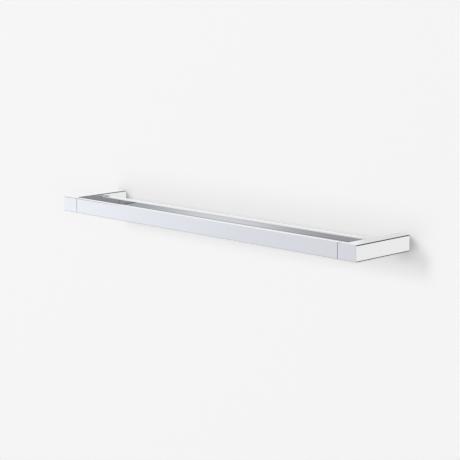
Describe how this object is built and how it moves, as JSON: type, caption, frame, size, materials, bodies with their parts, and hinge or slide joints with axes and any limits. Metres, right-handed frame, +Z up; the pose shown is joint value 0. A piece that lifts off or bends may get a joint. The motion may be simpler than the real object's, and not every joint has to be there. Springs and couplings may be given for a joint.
{
  "type": "double towel bar",
  "caption": "Wall-mounted double towel bar: two square arms carry a front rail and a rear rail of flat tube, on concealed wall brackets.",
  "frame": {"origin": "on the wall plane, in the middle of the four wall screws, at half the height of the arms", "axes": "+X along the rails to the right as seen from the room, -Y out from the wall into the room, +Z up"},
  "size_m": [0.65, 0.15, 0.024],
  "materials": {
    "polished_chrome": "mirror-polished chrome plate",
    "bracket_zinc": "as-cast zinc, satin",
    "screw_steel": "stainless steel, satin"
  },
  "bodies": {
    "root": {"left_arm": "polished_chrome", "right_arm": "polished_chrome", "front_rail": "polished_chrome", "rear_rail": "polished_chrome", "left_wall_bracket": "bracket_zinc", "right_wall_bracket": "bracket_zinc", "wall_screws": "screw_steel", "bracket_grub_screws": "screw_steel", "front_rail_grub_screws": "screw_steel", "rear_rail_grub_screws": "screw_steel"}
  },
  "joints": []
}
